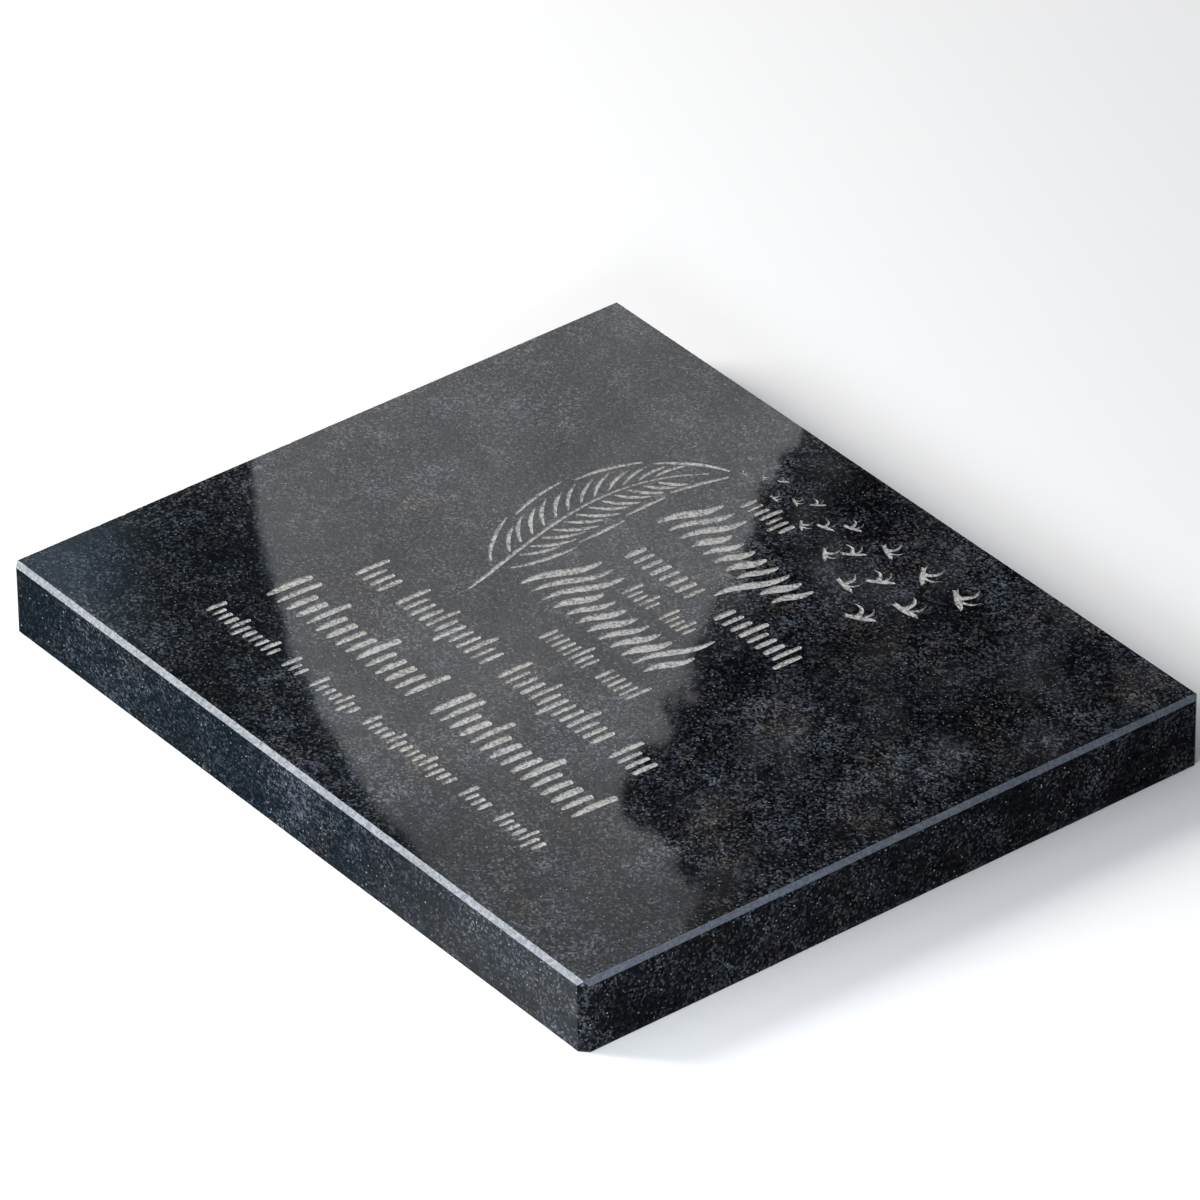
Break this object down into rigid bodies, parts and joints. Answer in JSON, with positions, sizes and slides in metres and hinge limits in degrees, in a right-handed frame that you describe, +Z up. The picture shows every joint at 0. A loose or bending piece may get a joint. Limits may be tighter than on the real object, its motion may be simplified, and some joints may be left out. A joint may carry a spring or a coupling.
{
  "type": "garden memorial stone",
  "caption": "Flat rectangular slab of polished black granite with bevelled top edges, engraved with a feather, small birds and rows of short strokes.",
  "frame": {"origin": "centre of the flat underside, on the ground that the stone lies on", "axes": "+X along the engraved rows in the direction they run, +Y up the page from the front edge to the back edge, +Z up out of the engraved face"},
  "size_m": [0.305, 0.254, 0.027],
  "materials": {
    "black_granite": "polished face and sides with fine blue-grey flecks, honed bevels, frosted engraving, sawn underside"
  },
  "bodies": {
    "root": {"memorial_stone": "black_granite"}
  },
  "joints": []
}
